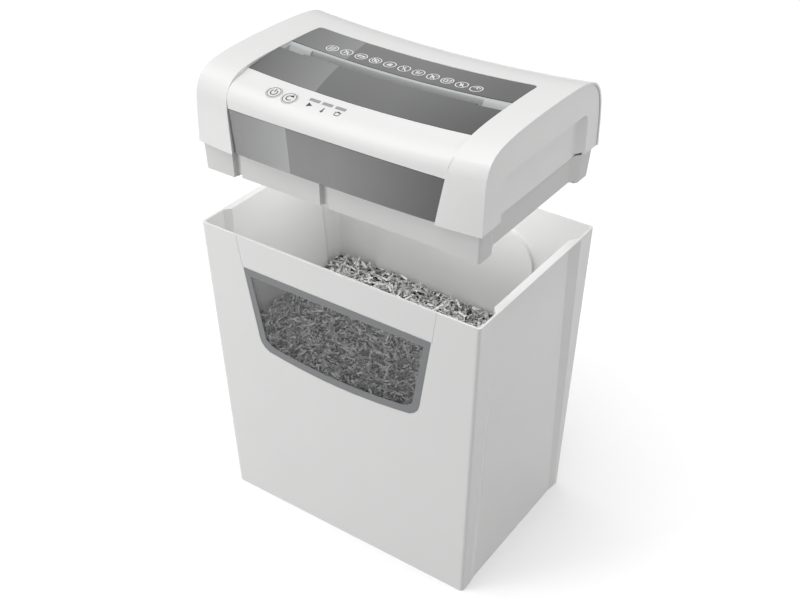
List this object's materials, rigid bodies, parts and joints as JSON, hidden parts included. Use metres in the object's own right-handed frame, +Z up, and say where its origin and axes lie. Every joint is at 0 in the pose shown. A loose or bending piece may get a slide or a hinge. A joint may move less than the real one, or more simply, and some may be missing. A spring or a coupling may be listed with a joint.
{
  "type": "paper shredder",
  "caption": "Paper shredder: arched cutter head with feed slot, glossy dark panels and controls, lifted above a tapered waste bin with a window.",
  "frame": {"origin": "centre of the bin's footprint, on the floor", "axes": "+X to the machine's right as its front is faced, +Y to the back, +Z up"},
  "size_m": [0.383, 0.2526, 0.5988],
  "materials": {
    "shell_white": "satin white moulded plastic",
    "panel_dark": "high-gloss dark grey plastic",
    "guide_grey": "satin light grey plastic",
    "tray_white": "fine matt white plastic",
    "frame_grey": "satin grey plastic",
    "pane_tint": "clear grey-tinted plastic pane",
    "paper": "loose white paper shreds",
    "button_white": "satin white plastic",
    "indicator": "frosted translucent grey plastic, unlit",
    "board": "green circuit board",
    "steel": "bright rolled steel",
    "cutter_steel": "ground hardened steel",
    "bronze": "sintered bronze",
    "comb": "matt black plastic",
    "gear_nylon": "natural nylon",
    "motor_steel": "laminated steel with a plastic bobbin",
    "screw_steel": "zinc-plated steel",
    "capacitor": "grey plastic can"
  },
  "bodies": {
    "bin": {"bin_shell": "shell_white", "front_insert": "shell_white", "window_frame": "frame_grey", "window_pane": "pane_tint", "paper_shreds": "paper"},
    "head": {"head_cover": "shell_white", "cheek_left": "shell_white", "cheek_right": "shell_white", "head_tray": "tray_white", "front_fascia": "panel_dark", "control_strip": "shell_white", "top_panel_front": "panel_dark", "top_panel_rear": "panel_dark", "slot_guide": "guide_grey", "tray_screw_1": "screw_steel", "tray_screw_2": "screw_steel", "tray_screw_3": "screw_steel", "tray_screw_4": "screw_steel", "indicator_1": "indicator", "indicator_2": "indicator", "indicator_3": "indicator", "control_board": "board", "frame_left": "steel", "frame_right": "steel", "tie_rod_1": "steel", "tie_rod_2": "steel", "tie_rod_3": "steel", "bearing_1": "bronze", "bearing_2": "bronze", "bearing_3": "bronze", "bearing_4": "bronze", "comb_front": "comb", "comb_rear": "comb", "idler_pin": "steel", "motor_body": "motor_steel", "motor_clamp": "steel", "power_board": "board", "run_capacitor": "capacitor"},
    "power_button": {"power_button": "button_white"},
    "reverse_button": {"reverse_button": "button_white"},
    "cutter_rear": {"cutter_rear": "cutter_steel", "sync_gear_rear": "cutter_steel", "drive_gear": "gear_nylon"},
    "cutter_front": {"cutter_front": "cutter_steel", "sync_gear_front": "cutter_steel"},
    "idler": {"idler_gear": "gear_nylon"},
    "rotor": {"motor_rotor": "steel"}
  },
  "joints": [
    {"name": "head_lift", "type": "slide", "parent": "bin", "child": "head", "axis": [0, 0, 1], "range_m": [-0.101, 0.05]},
    {"name": "power_press", "type": "slide", "parent": "head", "child": "power_button", "axis": [0, -0.2426, 0.9701], "range_m": [-0.0012, 0], "stiffness_N_per_m": 300, "springref_m": 0.002},
    {"name": "reverse_press", "type": "slide", "parent": "head", "child": "reverse_button", "axis": [0, -0.2426, 0.9701], "range_m": [-0.0012, 0], "stiffness_N_per_m": 300, "springref_m": 0.002},
    {"name": "cutter_rear_spin", "type": "hinge", "parent": "head", "child": "cutter_rear", "pos_m": [0, 0.0015, 0.5291], "axis": [1, 0, 0], "continuous": true},
    {"name": "cutter_front_spin", "type": "hinge", "parent": "head", "child": "cutter_front", "pos_m": [0, -0.0335, 0.5291], "axis": [1, 0, 0], "continuous": true},
    {"name": "idler_spin", "type": "hinge", "parent": "head", "child": "idler", "pos_m": [0.135, 0.04903, 0.5358], "axis": [1, 0, 0], "continuous": true},
    {"name": "motor_spin", "type": "hinge", "parent": "head", "child": "rotor", "pos_m": [0.06, 0.07891, 0.53849], "axis": [1, 0, 0], "continuous": true}
  ],
  "couplings": [
    {"joint": "cutter_front_spin", "follows": "cutter_rear_spin", "ratio": -1},
    {"joint": "idler_spin", "follows": "cutter_rear_spin", "ratio": -3.5714},
    {"joint": "motor_spin", "follows": "cutter_rear_spin", "ratio": 14.286}
  ]
}
